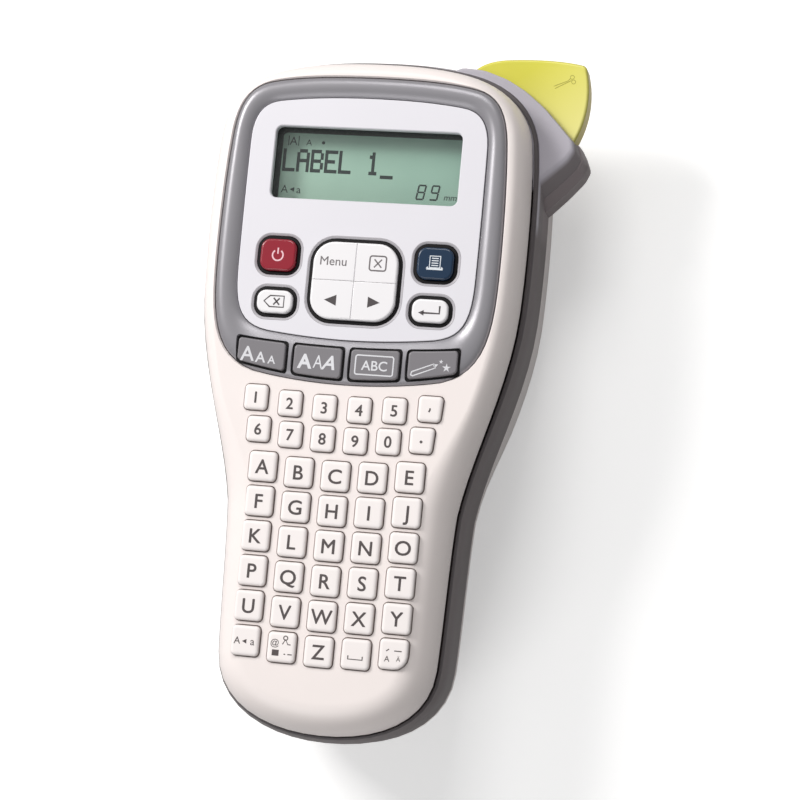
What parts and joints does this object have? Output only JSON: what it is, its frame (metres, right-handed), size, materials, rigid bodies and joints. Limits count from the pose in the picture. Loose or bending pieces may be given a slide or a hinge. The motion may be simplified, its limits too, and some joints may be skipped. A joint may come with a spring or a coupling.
{
  "type": "label maker",
  "caption": "Handheld label maker: waisted casing, character keypad, display in a raised ring, side lever cutter and tape cassette behind a lift-off back cover.",
  "frame": {"origin": "a point on the flat part of the back, on the body's centre line behind the control area", "axes": "+Z out of the face, +Y toward the tape exit along the body, +X toward the cutter lever"},
  "size_m": [0.1135, 0.2068, 0.0584],
  "materials": {
    "shell_white": "fine satin moulding",
    "ring_gray": "satin silver gray",
    "panel_silver": "pearl satin",
    "frame_gray": "satin gray",
    "key_gray": "satin",
    "key_white": "smooth",
    "key_red": "smooth",
    "key_navy": "smooth",
    "silicone_white": "soft matt",
    "lime": "smooth",
    "window": "clear",
    "display_green": "liquid crystal cell",
    "black_plastic": "matt",
    "board_green": "solder resist",
    "steel": "bare",
    "alloy": "bare",
    "brass": "bare",
    "gear_plastic": "moulded",
    "roller_rubber": "matt",
    "cassette_white": "moulded",
    "tape_white": "film",
    "cell_jacket": "printed jacket",
    "ceramic": "ceramic"
  },
  "bodies": {
    "casing": {"top_shell": "shell_white", "head_ring": "ring_gray", "display_panel": "panel_silver", "mid_frame": "frame_gray", "character_keypad": "silicone_white", "display_window": "window", "display_module": "display_green", "display_shroud": "black_plastic", "main_board": "board_green", "lever_pin": "steel", "lever_spring": "steel", "blade_anvil": "steel", "motor": "steel", "case_screw_1": "steel", "case_screw_2": "steel", "case_screw_3": "steel", "case_screw_4": "steel", "contact_grip_end": "steel", "contact_middle": "steel", "contact_head_end": "steel", "mechanism_plate": "alloy", "roller_bracket": "alloy", "head_heatsink": "alloy", "cassette_case": "cassette_white", "cassette_lid": "cassette_white", "label_tape": "tape_white", "cell_1": "cell_jacket", "cell_2": "cell_jacket", "cell_3": "cell_jacket", "cell_4": "cell_jacket", "cell_5": "cell_jacket", "cell_6": "cell_jacket", "print_head": "ceramic"},
    "power_key": {"power_key": "key_red"},
    "print_key": {"print_key": "key_navy"},
    "delete_key": {"delete_key": "key_white"},
    "enter_key": {"enter_key": "key_white"},
    "menu_key": {"menu_key": "key_white"},
    "clear_key": {"clear_key": "key_white"},
    "left_key": {"left_key": "key_white"},
    "right_key": {"right_key": "key_white"},
    "size_key": {"size_key": "key_gray"},
    "style_key": {"style_key": "key_gray"},
    "frame_key": {"frame_key": "key_gray"},
    "effect_key": {"effect_key": "key_gray"},
    "cutter_lever": {"cutter_lever": "lime"},
    "blade_carrier": {"blade_carrier": "black_plastic", "cutter_blade": "steel"},
    "platen": {"platen_roller": "roller_rubber", "platen_gear": "gear_plastic"},
    "idler_gear": {"idler_gear": "gear_plastic"},
    "motor_pinion": {"motor_pinion": "brass"},
    "takeup": {"takeup_spindle": "gear_plastic", "ribbon_takeup_spool": "black_plastic"},
    "tape_roll": {"tape_roll": "tape_white"},
    "ribbon_supply": {"ribbon_supply_spool": "black_plastic"},
    "back_cover": {"back_cover": "shell_white"},
    "cover_latch": {"cover_latch": "shell_white"}
  },
  "joints": [
    {"name": "power_key_press", "type": "slide", "parent": "casing", "child": "power_key", "axis": [0, 0, -1], "range_m": [0, 0.001], "stiffness_N_per_m": 300},
    {"name": "print_key_press", "type": "slide", "parent": "casing", "child": "print_key", "axis": [0, 0, -1], "range_m": [0, 0.001], "stiffness_N_per_m": 300},
    {"name": "delete_key_press", "type": "slide", "parent": "casing", "child": "delete_key", "axis": [0, 0, -1], "range_m": [0, 0.001], "stiffness_N_per_m": 300},
    {"name": "enter_key_press", "type": "slide", "parent": "casing", "child": "enter_key", "axis": [0, 0, -1], "range_m": [0, 0.001], "stiffness_N_per_m": 300},
    {"name": "menu_key_press", "type": "slide", "parent": "casing", "child": "menu_key", "axis": [0, 0, -1], "range_m": [0, 0.001], "stiffness_N_per_m": 300},
    {"name": "clear_key_press", "type": "slide", "parent": "casing", "child": "clear_key", "axis": [0, 0, -1], "range_m": [0, 0.001], "stiffness_N_per_m": 300},
    {"name": "left_key_press", "type": "slide", "parent": "casing", "child": "left_key", "axis": [0, 0, -1], "range_m": [0, 0.001], "stiffness_N_per_m": 300},
    {"name": "right_key_press", "type": "slide", "parent": "casing", "child": "right_key", "axis": [0, 0, -1], "range_m": [0, 0.001], "stiffness_N_per_m": 300},
    {"name": "size_key_press", "type": "slide", "parent": "casing", "child": "size_key", "axis": [0, 0, -1], "range_m": [0, 0.001], "stiffness_N_per_m": 300},
    {"name": "style_key_press", "type": "slide", "parent": "casing", "child": "style_key", "axis": [0, 0, -1], "range_m": [0, 0.001], "stiffness_N_per_m": 300},
    {"name": "frame_key_press", "type": "slide", "parent": "casing", "child": "frame_key", "axis": [0, 0, -1], "range_m": [0, 0.001], "stiffness_N_per_m": 300},
    {"name": "effect_key_press", "type": "slide", "parent": "casing", "child": "effect_key", "axis": [0, 0, -1], "range_m": [0, 0.001], "stiffness_N_per_m": 300},
    {"name": "lever_turn", "type": "hinge", "parent": "casing", "child": "cutter_lever", "pos_m": [0.03, 0.047, 0.0364], "axis": [0, 0, -1], "range_deg": [0, 15], "stiffness_Nm_per_rad": 0.15},
    {"name": "blade_slide", "type": "slide", "parent": "casing", "child": "blade_carrier", "axis": [-1, 0, 0], "range_m": [0, 0.0027]},
    {"name": "platen_spin", "type": "hinge", "parent": "casing", "child": "platen", "pos_m": [0.0217, 0.027, 0.027], "axis": [0, 0, 1], "continuous": true},
    {"name": "idler_spin", "type": "hinge", "parent": "casing", "child": "idler_gear", "pos_m": [0.00599, 0.02103, 0.027], "axis": [0, 0, 1], "continuous": true},
    {"name": "pinion_spin", "type": "hinge", "parent": "casing", "child": "motor_pinion", "pos_m": [-0.00091, 0.00908, 0.027], "axis": [0, 0, 1], "continuous": true},
    {"name": "takeup_spin", "type": "hinge", "parent": "casing", "child": "takeup", "pos_m": [-0.00907, 0.02973, 0.027], "axis": [0, 0, 1], "continuous": true},
    {"name": "roll_spin", "type": "hinge", "parent": "casing", "child": "tape_roll", "pos_m": [-0.0215, 0.009, 0.027], "axis": [0, 0, 1], "continuous": true},
    {"name": "supply_spin", "type": "hinge", "parent": "casing", "child": "ribbon_supply", "pos_m": [0.002, 0.004, 0.027], "axis": [0, 0, 1], "continuous": true},
    {"name": "cover_off", "type": "slide", "parent": "casing", "child": "back_cover", "axis": [0, 0, -1], "range_m": [0, 0.04]},
    {"name": "latch_press", "type": "slide", "parent": "back_cover", "child": "cover_latch", "axis": [0, -1, 0], "range_m": [0, 0.0012], "stiffness_N_per_m": 400}
  ],
  "couplings": [
    {"joint": "blade_slide", "follows": "lever_turn", "m_per_rad": 0.01},
    {"joint": "idler_spin", "follows": "platen_spin", "ratio": -0.64706},
    {"joint": "pinion_spin", "follows": "platen_spin", "ratio": 1.8333},
    {"joint": "takeup_spin", "follows": "platen_spin", "ratio": 0.91667},
    {"joint": "roll_spin", "follows": "platen_spin", "ratio": -0.4},
    {"joint": "supply_spin", "follows": "platen_spin", "ratio": -1.08}
  ]
}
